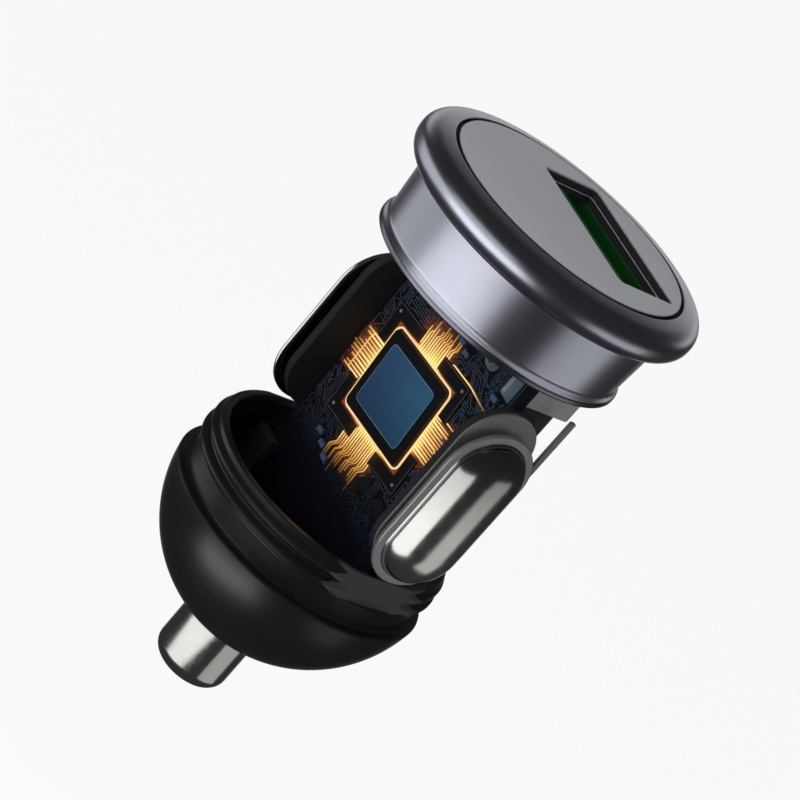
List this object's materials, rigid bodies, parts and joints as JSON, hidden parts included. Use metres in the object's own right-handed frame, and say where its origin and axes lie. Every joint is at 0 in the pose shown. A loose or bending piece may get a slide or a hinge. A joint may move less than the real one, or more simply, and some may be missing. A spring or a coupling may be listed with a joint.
{
  "type": "car usb charger plug",
  "caption": "Small plug-in charger for a vehicle socket, shown without its tube: rimmed head with a port, circuit board, sprung side contacts, ball nose and sprung centre pin.",
  "frame": {"origin": "on the plug's axis, in the plane of the rim's underside that stops against the socket's edge", "axes": "+Z along the plug's axis out of the socket, towards the port; +X through the right-hand side contact; -Y faces the side of the board that carries the controller"},
  "size_m": [0.0234, 0.0234, 0.0439],
  "materials": {
    "bezel": "satin gunmetal",
    "face": "fine matte",
    "port_frame": "gloss",
    "liner": "matte",
    "shell": "bright",
    "tongue": "satin",
    "board": "solder mask",
    "chip": "matte",
    "chip_lid": "satin blue",
    "gold": "polished",
    "ceramic": "matte",
    "solder": "bright",
    "can": "satin",
    "inductor": "matte",
    "holder": "satin",
    "strip": "satin",
    "contact": "polished",
    "spring": "sheet",
    "cap": "satin gloss",
    "terminal": "plain"
  },
  "bodies": {
    "charger": {"bezel": "bezel", "face_plate": "face", "port_frame": "port_frame", "neck_liner": "liner", "usb_shell": "shell", "usb_tongue": "tongue", "main_board": "board", "controller_chip": "chip", "chip_lid": "chip_lid", "guard_ring": "gold", "corner_blocks": "chip", "corner_posts": "solder", "chip_capacitors": "ceramic", "solder_joints": "solder", "input_capacitor": "can", "capacitor_leads": "solder", "inductor": "inductor", "holder_right": "holder", "holder_left": "holder", "strip_right": "strip", "strip_left": "strip", "side_spring_right": "spring", "side_spring_left": "spring", "nose_cap": "cap", "pin_spring": "spring", "spring_terminal": "terminal", "usb_contact_1": "gold", "usb_contact_2": "gold", "usb_contact_3": "gold", "usb_contact_4": "gold"},
    "pin": {"centre_pin": "contact"},
    "contact_right": {"side_contact_right": "contact"},
    "contact_left": {"side_contact_left": "contact"}
  },
  "joints": [
    {"name": "centre_pin_press", "type": "slide", "parent": "charger", "child": "pin", "axis": [0, 0, 1], "range_m": [0, 0.002], "stiffness_N_per_m": 900, "springref_m": -0.004, "deforming": ["pin_spring"]},
    {"name": "side_contact_right_press", "type": "slide", "parent": "charger", "child": "contact_right", "axis": [-1, 0, 0], "range_m": [0, 0.0005], "stiffness_N_per_m": 1200, "deforming": ["side_spring_right"]},
    {"name": "side_contact_left_press", "type": "slide", "parent": "charger", "child": "contact_left", "axis": [1, 0, 0], "range_m": [0, 0.0005], "stiffness_N_per_m": 1200, "deforming": ["side_spring_left"]}
  ]
}
